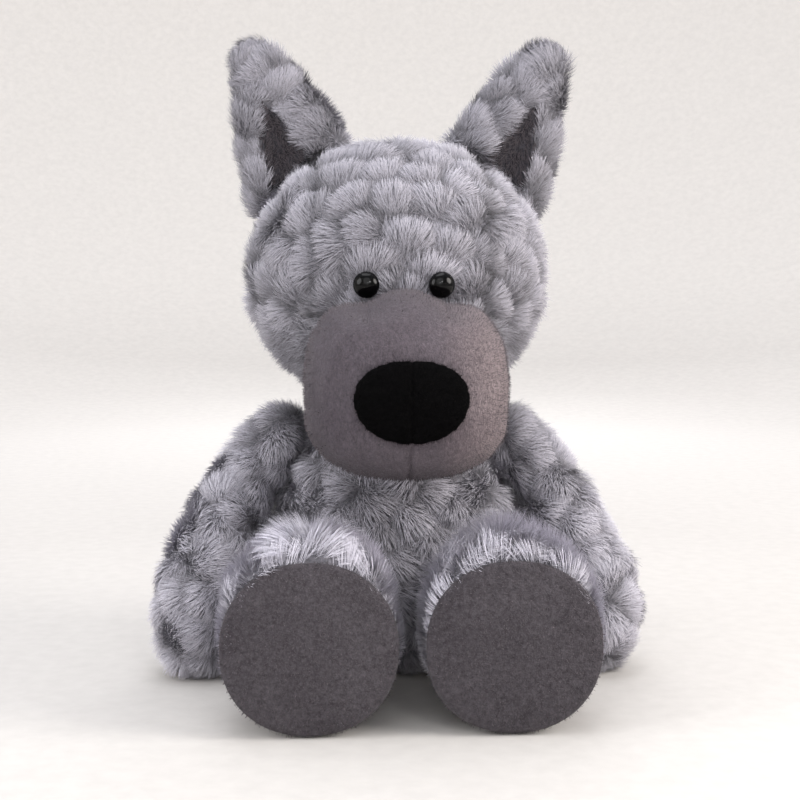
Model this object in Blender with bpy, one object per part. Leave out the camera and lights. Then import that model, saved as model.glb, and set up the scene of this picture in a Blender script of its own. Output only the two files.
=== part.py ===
"""Sitting plush dog: sewn covers over stuffing, a turning and nodding head, and soft limbs, ears and tail.

The toy faces -Y and sits on z = 0. Its own left is at +X. Each stuffed part is one smooth outer shape. Its cover
panels are patches of that shape, SKIN thick, and its stuffing is the same shape drawn in.
"""

import math

import bmesh
import bpy
import numpy as np
from mathutils import Matrix, Vector

# Sewing
SKIN = 0.0020
GAP = 0.0003
HALF_SEAM = GAP / 2
FILL_DEPTH = SKIN + 2.5 * GAP
FAR = 0.5

# Head
HEAD_CENTRE = Vector((0.0, -0.005, 0.218))
HEAD_HALF_WIDTH = 0.084
HEAD_HALF_DEPTH = 0.074
HEAD_HALF_HEIGHT = 0.074
CROWN_HALF_WIDTH = 0.044
CHEEK_HALF_WIDTH = 0.066
CHEEK_TOP_Z = 0.198
CHEEK_BACK_Y = -0.020

# Muzzle, nose and eyes
MUZZLE_BACK_Y = -0.046
MUZZLE_FRONT_Y = -0.140
MUZZLE_HALF_WIDTH = 0.0505
BRIDGE_HALF_WIDTH = 0.020
BRIDGE_BOTTOM_Z = 0.182
JAW_TOP_Z = 0.128
NOSE_CENTRE = Vector((0.0, -0.1385, 0.158))
NOSE_HALF_SIZE = (0.027, 0.020, 0.0075)
EYE_X = 0.0195
EYE_Z = 0.2125
EYE_RADIUS = 0.007
EYE_DOME = 0.0052
EYE_RIM = 0.0010
EYE_BACK_RADIUS = 0.0064
EYE_LIFT = 0.0005
SHANK_RADIUS = 0.0018
SHANK_DEPTH = 0.008
WASHER_RADIUS = 0.0075
WASHER_THICKNESS = 0.0016
HEAD_FACET = 0.0018  # how far the middle of a facet lies inside the true ellipsoid

# Neck
NECK_PIVOT = Vector((0.0, 0.002, 0.146))
NECK_RADIUS = 0.024
NECK_SOCKET = 0.0252

# Torso
TORSO_Y = 0.010
TORSO_TOP_Z = 0.140
SEAT_SEAM_Z = 0.004

# Limbs and tail, for the left side
SHOULDER = Vector((0.070, 0.013, 0.122))
SHOULDER_SOCKET = 0.0300
HIP = Vector((0.047, -0.052, 0.042))
HIP_SOCKET = 0.0322
HIP_DROP = 50.0
SOLE_Y = -0.150
SOLE_DEPTH = 0.005
TAIL_ROOT = Vector((0.0, 0.078, 0.021))
TAIL_SOCKET = 0.0185
TAIL_WAG = 25.0
TAIL_TIP_Y = 0.150

# Ears, for the left side. The right one stands more upright.
EAR_PIVOT = Vector((0.0465, 0.006, 0.272))
EAR_HINGE = Vector((0.907, 0.0, -0.421)).normalized()
EAR_FLOP = 20.0
EAR_BASE = Vector((0.0405, 0.006, 0.247))
EAR_TIP = Vector((0.0885, 0.008, 0.345))
EAR_TIP_RIGHT = Vector((-0.0825, 0.008, 0.345))
EAR_HALF_WIDTH = 0.0385
CUP_OUTWARD = 0.0055
CUP_FORWARD = 0.012
LINING = 0.0015

X, Y, Z = Vector((1, 0, 0)), Vector((0, 1, 0)), Vector((0, 0, 1))

# Colours (linear) and roughness
CURLED_PLUSH = ((0.32, 0.32, 0.38, 1.0), 0.95)
SHORT_PLUSH = ((0.125, 0.110, 0.122, 1.0), 0.9)
NOSE_VELVET = ((0.004, 0.004, 0.005, 1.0), 0.8)
EYE_PLASTIC = ((0.003, 0.003, 0.003, 1.0), 0.08)
WASHER_PLASTIC = ((0.75, 0.75, 0.72, 1.0), 0.5)
FIBRE = ((0.85, 0.85, 0.83, 1.0), 1.0)

helpers = []


def clear_scene():
    for obj in list(bpy.data.objects):
        bpy.data.objects.remove(obj)


def add_object(name, mesh):
    obj = bpy.data.objects.new(name, mesh)
    bpy.context.scene.collection.objects.link(obj)
    return obj


def as_helper(obj):
    """Marks a shape that only cuts or shapes the pieces. It is removed at the end."""
    obj.hide_render = True
    obj.display_type = "WIRE"
    helpers.append(obj)
    return obj


def copy_of(obj, name):
    return add_object(name, obj.data.copy())


def closed_mesh(name, points, faces):
    mesh = bpy.data.meshes.new(name)
    mesh.from_pydata(points, [], faces)
    shape = bmesh.new()
    shape.from_mesh(mesh)
    bmesh.ops.recalc_face_normals(shape, faces=shape.faces)
    shape.to_mesh(mesh)
    shape.free()
    return mesh


def stuffed(name, spine, u=X, v=Y, grow=0.0, round_ends=2.0, square=2.0, sides=20, rings=10, floor=None):
    """A closed plump shape round a spine.

    Each spine entry is (x, y, z, half width along u, half width along v). The ends close in a dome, which is an
    ellipse at round_ends = 2 and blunter above that. A section is an ellipse at square = 2 and squarer above that.
    The shape swells by grow everywhere, and it is flat where it would pass below floor.
    """
    table = np.array(spine, float)
    steps = np.linalg.norm(np.diff(table[:, :3], axis=0), axis=1)
    where = np.concatenate([[0.0], np.cumsum(steps)])
    where = where / where[-1] * 2 - 1
    begin = (table[0, :3] - table[1, :3]) / steps[0]
    end = (table[-1, :3] - table[-2, :3]) / steps[-1]
    angles = np.arange(sides) * 2 * math.pi / sides
    across = np.sign(np.cos(angles)) * np.abs(np.cos(angles)) ** (2 / square)
    along = np.sign(np.sin(angles)) * np.abs(np.sin(angles)) ** (2 / square)

    points = []
    for k in range(rings + 1):
        t = -math.cos(math.pi * k / rings)
        x, y, z, half_u, half_v = (np.interp(t, where, column) for column in table.T)
        centre = np.array((x, y, z)) + grow * (max(t, 0) * end + max(-t, 0) * begin)
        if k in (0, rings):
            points.append(centre)
            continue
        dome = (1 - abs(t) ** round_ends) ** (1 / round_ends)
        for a, b in zip(across, along):
            points.append(centre + a * (half_u + grow) * dome * np.array(u) + b * (half_v + grow) * dome * np.array(v))
    points = np.array(points)
    if floor is not None:
        points[:, 2] = np.maximum(points[:, 2], floor - grow)

    faces = []
    last = len(points) - 1
    for i in range(sides):
        j = (i + 1) % sides
        faces.append((0, 1 + i, 1 + j))
        faces.append((last, last - sides + j, last - sides + i))
        for k in range(rings - 2):
            row = 1 + k * sides
            faces.append((row + i, row + sides + i, row + sides + j, row + j))
    return add_object(name, closed_mesh(name, points.tolist(), faces))


def ball(name, centre, radius):
    low, high = centre - radius * Z, centre + radius * Z
    return stuffed(name, [(*low, radius, radius), (*high, radius, radius)], sides=16, rings=10)


def swing_room(name, pivot, radius, directions, reach):
    """The space that a round limb sweeps: balls at the pivot and at the end of each direction, in one skin."""
    shape = bmesh.new()
    for direction in [Vector(), *directions]:
        for vertex in as_helper(ball(name, pivot + reach * direction, radius)).data.vertices:
            shape.verts.new(vertex.co)
    hull = bmesh.ops.convex_hull(shape, input=shape.verts)
    inside = {part for part in hull["geom_interior"] + hull["geom_unused"] if isinstance(part, bmesh.types.BMVert)}
    bmesh.ops.delete(shape, geom=list(inside), context="VERTS")
    bmesh.ops.recalc_face_normals(shape, faces=shape.faces)
    mesh = bpy.data.meshes.new(name)
    shape.to_mesh(mesh)
    shape.free()
    return as_helper(add_object(name, mesh))


def block(name, low, high):
    """A region from one corner to the other."""
    shape = bmesh.new()
    bmesh.ops.create_cube(shape, size=1.0)
    low, high = Vector(low), Vector(high)
    bmesh.ops.scale(shape, vec=high - low, verts=shape.verts)
    bmesh.ops.translate(shape, vec=(low + high) / 2, verts=shape.verts)
    mesh = bpy.data.meshes.new(name)
    shape.to_mesh(mesh)
    shape.free()
    return as_helper(add_object(name, mesh))


def half_space(name, point, normal):
    """The region on the far side of a plane, half a seam away from it."""
    region = block(name, (-FAR, -FAR, HALF_SEAM), (FAR, FAR, FAR))
    turn = Vector(normal).to_track_quat("Z", "Y").to_matrix().to_4x4()
    region.data.transform(Matrix.Translation(point) @ turn)
    return region


def turned(name, profile, point, direction, steps=12):
    """Spins a profile of (radius, height) round the direction."""
    rows = [(radius, height) for radius, height in profile if radius > 0]
    points = [(0, 0, profile[0][1]), (0, 0, profile[-1][1])]
    for radius, height in rows:
        for k in range(steps):
            angle = 2 * math.pi * k / steps
            points.append((radius * math.cos(angle), radius * math.sin(angle), height))
    faces = []
    for i in range(steps):
        j = (i + 1) % steps
        faces.append((0, 2 + i, 2 + j))
        faces.append((1, 2 + (len(rows) - 1) * steps + j, 2 + (len(rows) - 1) * steps + i))
        for k in range(len(rows) - 1):
            row = 2 + k * steps
            faces.append((row + i, row + steps + i, row + steps + j, row + j))
    mesh = closed_mesh(name, points, faces)
    mesh.transform(Matrix.Translation(point) @ Vector(direction).to_track_quat("Z", "Y").to_matrix().to_4x4())
    return add_object(name, mesh)


def boolean(target, tool, operation):
    modifier = target.modifiers.new("Cut", "BOOLEAN")
    modifier.operation = operation
    modifier.solver = "EXACT"
    modifier.object = tool
    graph = bpy.context.evaluated_depsgraph_get()
    target.data = bpy.data.meshes.new_from_object(target.evaluated_get(graph))
    target.modifiers.clear()


def cut(target, *tools):
    for tool in tools:
        boolean(target, tool, "DIFFERENCE")


def patch(name, outer, inner, region, *cutters):
    """One cover panel: the part of the outer shape in a region, less what it covers."""
    panel = copy_of(outer, name)
    boolean(panel, region, "INTERSECT")
    cut(panel, *cutters, inner)
    return panel


def mirrored(side, vector):
    return Vector((side * vector[0], vector[1], vector[2]))


def sided(name, side):
    return f"{name}_left" if side > 0 else f"{name}_right"


def finish(piece, finish_values):
    colour, roughness = finish_values
    material = bpy.data.materials.new(piece.name)
    material.use_nodes = True
    shader = material.node_tree.nodes["Principled BSDF"]
    shader.inputs["Base Color"].default_value = colour
    shader.inputs["Roughness"].default_value = roughness
    shader.inputs["Metallic"].default_value = 0.0
    material.diffuse_color = colour
    piece.data.materials.clear()
    piece.data.materials.append(material)
    piece.data.shade_smooth()
    piece.data.set_sharp_from_angle(angle=math.radians(40))


def add_joint(name, pivot, parent=None):
    joint = bpy.data.objects.new(name, None)
    joint.empty_display_size = 0.02
    bpy.context.scene.collection.objects.link(joint)
    joint["pivot"] = tuple(pivot)
    joint.location = pivot
    if parent:
        joint.location = Vector(pivot) - Vector(parent["pivot"])
        joint.parent = parent
    return joint


def attach(pieces, joint, finish_values):
    """Puts each piece's origin on its joint and gives it its finish."""
    for piece in pieces:
        piece.data.transform(Matrix.Translation(-Vector(joint["pivot"])))
        piece.parent = joint
        finish(piece, finish_values)


# Outer shapes


def head_shape(name, grow=0.0):
    low, high = HEAD_CENTRE - HEAD_HALF_HEIGHT * Z, HEAD_CENTRE + HEAD_HALF_HEIGHT * Z
    spine = [(*low, HEAD_HALF_WIDTH, HEAD_HALF_DEPTH), (*high, HEAD_HALF_WIDTH, HEAD_HALF_DEPTH)]
    return as_helper(stuffed(name, spine, grow=grow, sides=20, rings=12))


def muzzle_shape(name, grow=0.0):
    wide = MUZZLE_HALF_WIDTH
    spine = [
        (0, MUZZLE_BACK_Y, 0.166, wide, 0.044),
        (0, -0.090, 0.165, wide, 0.0455),
        (0, MUZZLE_FRONT_Y, 0.159, wide, 0.0425),
    ]
    return as_helper(stuffed(name, spine, u=X, v=Z, grow=grow, round_ends=3.0, square=2.6, sides=16, rings=9))


def torso_shape(name, grow=0.0):
    sizes = [
        (-0.006, 0.066, 0.060),
        (0.015, 0.073, 0.067),
        (0.045, 0.077, 0.070),
        (0.080, 0.072, 0.066),
        (0.110, 0.063, 0.056),
        (TORSO_TOP_Z, 0.050, 0.045),
    ]
    spine = [(0, TORSO_Y, *size) for size in sizes]
    return as_helper(stuffed(name, spine, grow=grow, round_ends=5.0, sides=18, rings=11, floor=0.0))


def arm_shape(name, side, grow=0.0):
    spine = [
        (0.061, 0.013, 0.146, 0.022, 0.025),
        (0.069, 0.013, 0.122, 0.027, 0.028),
        (0.088, 0.006, 0.100, 0.0215, 0.029),
        (0.097, -0.005, 0.076, 0.024, 0.031),
        (0.107, -0.018, 0.048, 0.0290, 0.032),
        (0.109, -0.030, -0.001, 0.0290, 0.032),
    ]
    spine = [(side * x, *rest) for x, *rest in spine]
    return as_helper(stuffed(name, spine, grow=grow, round_ends=3.0, sides=12, rings=10, floor=GAP))


def leg_shape(name, side, grow=0.0):
    spine = [
        (0.047, -0.025, 0.042, 0.014, 0.014),
        (0.047, -0.032, 0.042, 0.022, 0.022),
        (0.047, -0.042, 0.042, 0.0270, 0.0270),
        (0.047, -0.052, 0.042, 0.0295, 0.0295),
        (0.047, -0.080, 0.042, 0.030, 0.030),
        (0.0475, -0.093, 0.045, 0.038, 0.041),
        (0.0485, -0.106, 0.048, 0.0435, 0.0475),
        (0.0485, -0.134, 0.047, 0.0440, 0.0480),
        (0.0485, SOLE_Y, 0.044, 0.0435, 0.0450),
    ]
    spine = [(side * x, *rest) for x, *rest in spine]
    return as_helper(stuffed(name, spine, u=X, v=Z, grow=grow, round_ends=12.0, sides=16, rings=12, floor=GAP))


def tail_shape(name, grow=0.0):
    spine = [
        (0, 0.061, 0.021, 0.017, 0.017),
        (0, 0.100, 0.019, 0.019, 0.019),
        (0, 0.130, 0.017, 0.018, 0.017),
        (0, TAIL_TIP_Y, 0.015, 0.014, 0.013),
    ]
    return as_helper(stuffed(name, spine, u=X, v=Z, grow=grow, round_ends=2.4, sides=12, rings=7, floor=GAP))


def ear_frame(side):
    """Where the ear stands, and the direction across it."""
    base, tip = mirrored(side, EAR_BASE), EAR_TIP if side > 0 else EAR_TIP_RIGHT
    return base, tip, Y.cross(tip - base).normalized()


def ear_shape(name, side):
    base, tip, across = ear_frame(side)
    spine = [
        (*base.lerp(tip, -0.10), EAR_HALF_WIDTH, 0.013),
        (*base.lerp(tip, 0.25), 0.0335, 0.0130),
        (*base.lerp(tip, 0.60), 0.0245, 0.0100),
        (*tip, 0.0120, 0.0075),
    ]
    return as_helper(stuffed(name, spine, u=across, v=Y, round_ends=4.0, sides=12, rings=8))


def ear_cup(name, side, grow=0.0):
    """The hollow in the front of the ear."""
    base, tip, across = ear_frame(side)
    aside = side * CUP_OUTWARD * across - CUP_FORWARD * Y
    spine = [
        (*(base.lerp(tip, -0.15) + aside), 0.0190, 0.0130),
        (*(base.lerp(tip, 0.30) + aside), 0.0160, 0.0110),
        (*(base.lerp(tip, 0.74) + aside), 0.0040, 0.0055),
    ]
    return as_helper(stuffed(name, spine, u=across, v=Y, grow=grow, round_ends=2.4, sides=10, rings=7))


# Head


def add_eye(side, joint):
    """A domed eye on a shank, with its washer behind the cover. Returns what the cover and the stuffing leave free."""
    x, z = side * EYE_X - HEAD_CENTRE.x, EYE_Z - HEAD_CENTRE.z
    depth = HEAD_HALF_DEPTH * math.sqrt(1 - (x / HEAD_HALF_WIDTH) ** 2 - (z / HEAD_HALF_HEIGHT) ** 2)
    point = HEAD_CENTRE + Vector((x, -depth, z))
    out = Vector((x / HEAD_HALF_WIDTH**2, -depth / HEAD_HALF_DEPTH**2, z / HEAD_HALF_HEIGHT**2)).normalized()

    rim = EYE_LIFT + EYE_RIM
    dome = [(EYE_RADIUS * math.sin(a), rim + EYE_DOME * math.cos(a)) for a in np.linspace(0, math.pi / 2, 4)]
    stem = [
        (EYE_BACK_RADIUS, EYE_LIFT),
        (SHANK_RADIUS, EYE_LIFT),
        (SHANK_RADIUS, -SHANK_DEPTH),
        (0, -SHANK_DEPTH),
    ]
    eye = turned(sided("eye", side), dome + stem, point, out)
    attach([eye], joint, EYE_PLASTIC)

    front = -(SKIN + GAP + HEAD_FACET)
    back = front - WASHER_THICKNESS
    washer = turned(
        sided("eye_washer", side),
        [(0, front), (WASHER_RADIUS, front), (WASHER_RADIUS, back), (0, back)],
        point,
        out,
    )
    bore_radius = SHANK_RADIUS + GAP
    far = 2 * SHANK_DEPTH
    bore = turned("eye_bore", [(0, far), (bore_radius, far), (bore_radius, -far), (0, -far)], point, out)
    cut(washer, as_helper(bore))
    attach([washer], joint, WASHER_PLASTIC)

    room = WASHER_RADIUS + GAP
    end = SHANK_DEPTH + GAP
    pocket = turned(
        "eye_pocket",
        [(0, 0), (room, 0), (room, back - GAP), (bore_radius, back - GAP), (bore_radius, -end), (0, -end)],
        point,
        out,
    )
    clear = ball("eye_clear", point, EYE_RADIUS + 2 * GAP)
    return bore, as_helper(pocket), as_helper(clear)


def add_head(joint):
    outer, inner = head_shape("head_outer"), head_shape("head_inner", -SKIN)
    muzzle, muzzle_inner = muzzle_shape("muzzle_outer"), muzzle_shape("muzzle_inner", -SKIN)
    muzzle_hole = muzzle_shape("muzzle_hole", GAP)
    head_hole = head_shape("head_hole", GAP)
    neck_hole = as_helper(ball("neck_hole", NECK_PIVOT, NECK_SOCKET))
    bores, pockets, clears = zip(*[add_eye(side, joint) for side in (1, -1)])

    cheeks = block("cheeks", (-CHEEK_HALF_WIDTH, -FAR, 0), (CHEEK_HALF_WIDTH, CHEEK_BACK_Y, CHEEK_TOP_Z))
    edge = CROWN_HALF_WIDTH - HALF_SEAM
    middle = block("middle", (-edge, -FAR, 0), (edge, FAR, FAR))
    crown = patch("crown_panel", outer, inner, middle, cheeks, muzzle_hole, neck_hole, *bores)
    panels = [crown]
    for side in (1, -1):
        beside = half_space("beside", side * CROWN_HALF_WIDTH * X, side * X)
        panels.append(patch(sided("head_side", side), outer, inner, beside, cheeks))
    attach(panels, joint, CURLED_PLUSH)

    edge, top, back = CHEEK_HALF_WIDTH - GAP, CHEEK_TOP_Z - GAP, CHEEK_BACK_Y - GAP
    cheek_panels = []
    for side in (1, -1):
        near, far = sorted((side * HALF_SEAM, side * edge))
        region = block("cheek", (near, -FAR, 0), (far, back, top))
        cheek_panels.append(patch(sided("cheek", side), outer, inner, region, muzzle_hole, neck_hole))
    attach(cheek_panels, joint, SHORT_PLUSH)

    add_muzzle(joint, muzzle, muzzle_inner, head_hole, clears)
    add_nose(joint)

    stuffing = copy_of(head_shape("head_fill", -FILL_DEPTH), "head_stuffing")
    boolean(stuffing, muzzle_shape("muzzle_fill", -FILL_DEPTH), "UNION")
    cut(stuffing, neck_hole, *pockets, *clears)
    attach([stuffing], joint, FIBRE)


def add_muzzle(joint, outer, inner, head_hole, eye_clears):
    """Bridge down the middle of the top, a side panel each side that meets under the nose, and the jaw."""
    edge = BRIDGE_HALF_WIDTH - HALF_SEAM
    bridge_region = block("bridge", (-edge, -FAR, BRIDGE_BOTTOM_Z + HALF_SEAM), (edge, 0, FAR))
    bridge_room = block(
        "bridge_room",
        (-BRIDGE_HALF_WIDTH - HALF_SEAM, -FAR, BRIDGE_BOTTOM_Z - HALF_SEAM),
        (BRIDGE_HALF_WIDTH + HALF_SEAM, 0, FAR),
    )
    jaw_region = block("jaw", (-FAR, -FAR, 0), (FAR, 0, JAW_TOP_Z - HALF_SEAM))
    panels = [
        patch("muzzle_bridge", outer, inner, bridge_region, head_hole, *eye_clears),
        patch("jaw_panel", outer, inner, jaw_region, head_hole),
    ]
    for side in (1, -1):
        near, far = sorted((side * HALF_SEAM, side * FAR))
        region = block("muzzle_half", (near, -FAR, JAW_TOP_Z + HALF_SEAM), (far, 0, FAR))
        name = sided("muzzle_side", side)
        panels.append(patch(name, outer, inner, region, bridge_room, head_hole, *eye_clears))
    attach(panels, joint, SHORT_PLUSH)


def add_nose(joint):
    wide, high, deep = NOSE_HALF_SIZE
    spine = [(*(NOSE_CENTRE + deep * Y), wide, high), (*(NOSE_CENTRE - deep * Y), wide, high)]
    nose = stuffed("nose_pad", spine, u=X, v=Z, square=2.2, sides=18, rings=6)
    cut(nose, muzzle_shape("nose_bed", GAP))
    attach([nose], joint, NOSE_VELVET)


def add_ear(side, joint):
    """A thick back that curls round to the front, and a lining in the hollow."""
    ear, cup = ear_shape("ear", side), ear_cup("cup", side)
    shell = copy_of(ear, sided("ear_shell", side))
    cut(shell, ear_cup("cup_room", side, GAP))
    lining = copy_of(cup, sided("ear_lining", side))
    boolean(lining, ear, "INTERSECT")
    cut(lining, ear_cup("cup_face", side, -LINING))

    pivot, hinge = mirrored(side, EAR_PIVOT), mirrored(side, EAR_HINGE)
    there, back = Matrix.Translation(pivot), Matrix.Translation(-pivot)
    for angle in (-EAR_FLOP, 0.0, EAR_FLOP):
        head = head_shape("head_room", 2 * GAP)
        head.data.transform(there @ Matrix.Rotation(math.radians(angle), 4, hinge) @ back)
        cut(shell, head)
        cut(lining, head)
    attach([shell], joint, CURLED_PLUSH)
    attach([lining], joint, SHORT_PLUSH)


# Body


def add_neck(joint):
    attach([ball("neck_stuffing", NECK_PIVOT, NECK_RADIUS)], joint, FIBRE)


def torso_rooms():
    """What the torso leaves free: the neck, both shoulders, both hips through their swing, and the tail."""
    rooms = [as_helper(ball("neck_room", NECK_PIVOT, NECK_SOCKET))]
    drop = math.radians(HIP_DROP)
    for side in (1, -1):
        rooms.append(as_helper(ball("shoulder_room", mirrored(side, SHOULDER), SHOULDER_SOCKET)))
        swing = [-Y, Vector((0, -math.cos(drop), -math.sin(drop)))]
        rooms.append(swing_room("hip_room", mirrored(side, HIP), HIP_SOCKET, swing, 0.070))
    wag = math.radians(TAIL_WAG)
    swing = [Vector((side * math.sin(wag), math.cos(wag), 0)) for side in (1, -1)]
    rooms.append(swing_room("tail_room", TAIL_ROOT, TAIL_SOCKET, swing, 0.040))
    return rooms


def add_torso(joint):
    outer, inner = torso_shape("torso_outer"), torso_shape("torso_inner", -SKIN)
    rooms = torso_rooms()
    cut(outer, *rooms)
    floor = SEAT_SEAM_Z + HALF_SEAM
    front = block("front", (-FAR, -FAR, floor), (FAR, TORSO_Y - HALF_SEAM, FAR))
    panels = [patch("chest_panel", outer, inner, front)]
    for side in (1, -1):
        near, far = sorted((side * HALF_SEAM, side * FAR))
        rear = block("rear", (near, TORSO_Y + HALF_SEAM, floor), (far, FAR, FAR))
        panels.append(patch(sided("back_panel", side), outer, inner, rear))
    seat = block("seat", (-FAR, -FAR, -FAR), (FAR, FAR, SEAT_SEAM_Z - HALF_SEAM))
    panels.append(patch("seat_panel", outer, inner, seat))
    attach(panels, joint, CURLED_PLUSH)

    stuffing = copy_of(torso_shape("torso_fill", -FILL_DEPTH), "torso_stuffing")
    cut(stuffing, *rooms)
    attach([stuffing], joint, FIBRE)


def add_arm(side, joint):
    outer, inner = arm_shape("arm_outer", side), arm_shape("arm_inner", side, -SKIN)
    seam = mirrored(side, SHOULDER)
    panels = []
    for name, facing in (("arm_front", -1), ("arm_back", 1)):
        region = half_space(name + "_half", seam, facing * Vector((0, 0.93, -0.37)))
        panels.append(patch(sided(name, side), outer, inner, region))
    attach(panels, joint, CURLED_PLUSH)
    fill = arm_shape("arm_fill", side, -FILL_DEPTH)
    attach([copy_of(fill, sided("arm_stuffing", side))], joint, FIBRE)


def add_leg(side, joint):
    outer, inner = leg_shape("leg_outer", side), leg_shape("leg_inner", side, -SKIN)
    sole_seam = SOLE_Y + SOLE_DEPTH
    sole_room = block("sole_room", (-FAR, -FAR, -FAR), (FAR, sole_seam + HALF_SEAM, FAR))
    panels = []
    for name, facing in (("leg_upper", 1), ("leg_lower", -1)):
        region = half_space(name + "_half", HIP, facing * Z)
        panels.append(patch(sided(name, side), outer, inner, region, sole_room))
    attach(panels, joint, CURLED_PLUSH)
    sole_region = block("sole_region", (-FAR, -FAR, -FAR), (FAR, sole_seam - HALF_SEAM, FAR))
    attach([patch(sided("sole", side), outer, inner, sole_region)], joint, SHORT_PLUSH)
    fill = leg_shape("leg_fill", side, -FILL_DEPTH)
    attach([copy_of(fill, sided("leg_stuffing", side))], joint, FIBRE)


def add_tail(joint):
    outer, inner = tail_shape("tail_outer"), tail_shape("tail_inner", -SKIN)
    panels = []
    for name, facing in (("tail_upper", 1), ("tail_lower", -1)):
        region = half_space(name + "_half", Vector((0, 0, 0.016)), facing * Z)
        panels.append(patch(name, outer, inner, region))
    attach(panels, joint, CURLED_PLUSH)
    fill = tail_shape("tail_fill", -FILL_DEPTH)
    attach([copy_of(fill, "tail_stuffing")], joint, FIBRE)


def build():
    clear_scene()
    torso = add_joint("torso_origin", Vector((0, TORSO_Y, 0)))
    neck = add_joint("neck_turn", NECK_PIVOT, torso)
    head = add_joint("head_nod", NECK_PIVOT, neck)
    add_torso(torso)
    add_neck(neck)
    add_head(head)
    for side in (1, -1):
        add_ear(side, add_joint(sided("ear_hinge", side), mirrored(side, EAR_PIVOT), head))
        add_arm(side, add_joint(sided("shoulder", side), mirrored(side, SHOULDER), torso))
        add_leg(side, add_joint(sided("hip", side), mirrored(side, HIP), torso))
    add_tail(add_joint("tail_root", TAIL_ROOT, torso))
    for helper in helpers:
        bpy.data.objects.remove(helper)


build()
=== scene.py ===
"""Looks of the seated plush dog.

Swollen covers, curled pile grown strand by strand, short plush, velvet and glossy eyes.

Left is the toy's own left, at +X. The toy faces -Y. Lengths are in metres, colours are sRGB.
"""

import math

import bmesh
import bpy
import numpy as np
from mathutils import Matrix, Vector
from mathutils.bvhtree import BVHTree


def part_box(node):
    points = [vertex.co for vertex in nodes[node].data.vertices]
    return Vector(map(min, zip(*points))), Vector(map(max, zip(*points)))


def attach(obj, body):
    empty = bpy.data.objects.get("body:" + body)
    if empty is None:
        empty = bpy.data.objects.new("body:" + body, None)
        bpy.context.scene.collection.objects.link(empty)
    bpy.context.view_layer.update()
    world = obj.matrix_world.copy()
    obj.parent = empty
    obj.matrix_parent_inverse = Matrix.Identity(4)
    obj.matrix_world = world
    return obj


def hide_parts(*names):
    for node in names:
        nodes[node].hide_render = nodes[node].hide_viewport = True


SIDES = ((1, "left"), (-1, "right"))
FLOOR_Z = 0.0006  # nothing of the toy goes below this

# Covers
PILE_DEPTH = 0.0045  # how far the woven backing lies under the CAD surface where pile stands on it
LIMB_DEPTH = 0.001  # the same for arms and legs, which grow from their stuffing
EAR_DEPTH = 0.0012
REMESH_PILE = 0.0050
REMESH_LIMB = 0.0045
REMESH_SHORT = 0.0032
REMESH_EAR = 0.0022
REMESH_NOSE = 0.0016
REMESH_LINING = 0.0012
SEAM_PIN = 0.004  # the cloth is held this near to a seam
PRESSURE = 4.0
SWELL_STEPS = 20
SWELL_PILE = 0.003  # the most that a cover swells
SWELL_SHORT = 0.0025
SWELL_SOLE = 0.0020
SWELL_NOSE = 0.0012

# Strands
STRAND_STEPS = np.array((0.0, 0.38, 0.72, 1.0))
STRAND_TAPER = np.array((1.0, 0.95, 0.70, 0.0))
ROOT_SHADE = (3, 1, 0)  # how many tones darker each stretch of a strand is, from the root: painted shade deep in the pile

# Tufts
TUFT_SQUASH = 0.9  # tufts are wider than long: how much more a distance along the lean counts, squared
TUFT_TRIES = 5000
TUFT_BORDER = (0.66, 1.0)  # where the border of a tuft starts and ends, if 0 is its middle and 1 its edge; strands there are shorter and painted darker as shade
TUFT_SIZES = (0.85, 1.2)
ROOT_LEAN = 0.55  # how much a strand follows the nap where it starts
CURL_OVER = 0.45  # how much less strands rise at the far edge of a tuft
SWIRL = 0.30
LENGTHS = (0.8, 1.12)
WIDTHS = (0.7, 1.25)
TWIST = 0.6
BURIED = 0.004  # pile rooted deeper than this in another cover is left out
TUFT_VARIETY = 0.018  # spread of the shade from tuft to tuft
STRAND_VARIETY = 0.020
TIP_PAINTED_LIGHT = 0.03  # how much lighter the far edge of a tuft is: painted light on the tips that curl over

# Greys of the pile, from the shade between tufts to the lit tips
DARKEST_TONE = 0.25
TONE_STEP = 0.05
PILE_TONES = tuple((v, 0.985 * v, 1.035 * v) for v in DARKEST_TONE + TONE_STEP * np.arange(13))
PLUSH_TONES = ((0.31, 0.285, 0.30), (0.38, 0.355, 0.37), (0.45, 0.42, 0.435), (0.54, 0.505, 0.51))
VELVET_TONES = ((0.012, 0.011, 0.012), (0.03, 0.029, 0.031), (0.05, 0.048, 0.052))

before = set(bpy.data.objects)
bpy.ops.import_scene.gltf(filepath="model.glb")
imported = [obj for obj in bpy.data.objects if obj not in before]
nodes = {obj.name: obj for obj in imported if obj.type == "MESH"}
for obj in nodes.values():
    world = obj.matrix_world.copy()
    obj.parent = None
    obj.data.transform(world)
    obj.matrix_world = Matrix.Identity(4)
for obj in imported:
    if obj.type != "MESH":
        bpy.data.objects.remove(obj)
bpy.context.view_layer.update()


# Small tools


def unit(vectors):
    return vectors / np.maximum(np.linalg.norm(vectors, axis=-1, keepdims=True), 1e-9)


def dot(a, b):
    return (a * b).sum(axis=-1)


def smooth_step(value, low, high):
    t = np.clip((value - low) / (high - low), 0, 1)
    return t * t * (3 - 2 * t)


def flat(points, value):
    """The same value at every point."""
    return np.full(len(points), value)


def linear(colour):
    return tuple(c / 12.92 if c <= 0.04045 else ((c + 0.055) / 1.055) ** 2.4 for c in colour) + (1.0,)


def box_of(*names):
    """The box round several CAD nodes, as two arrays."""
    corners = [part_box(name) for name in names]
    return np.min([low for low, _ in corners], axis=0), np.max([high for _, high in corners], axis=0)


def coordinates(mesh):
    co = np.empty(len(mesh.vertices) * 3, np.float32)
    mesh.vertices.foreach_get("co", co)
    return co.reshape(-1, 3).astype(float)


def vertex_normals(mesh):
    normals = np.empty(len(mesh.vertices) * 3, np.float32)
    mesh.vertex_normals.foreach_get("vector", normals)
    return normals.reshape(-1, 3).astype(float)


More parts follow.
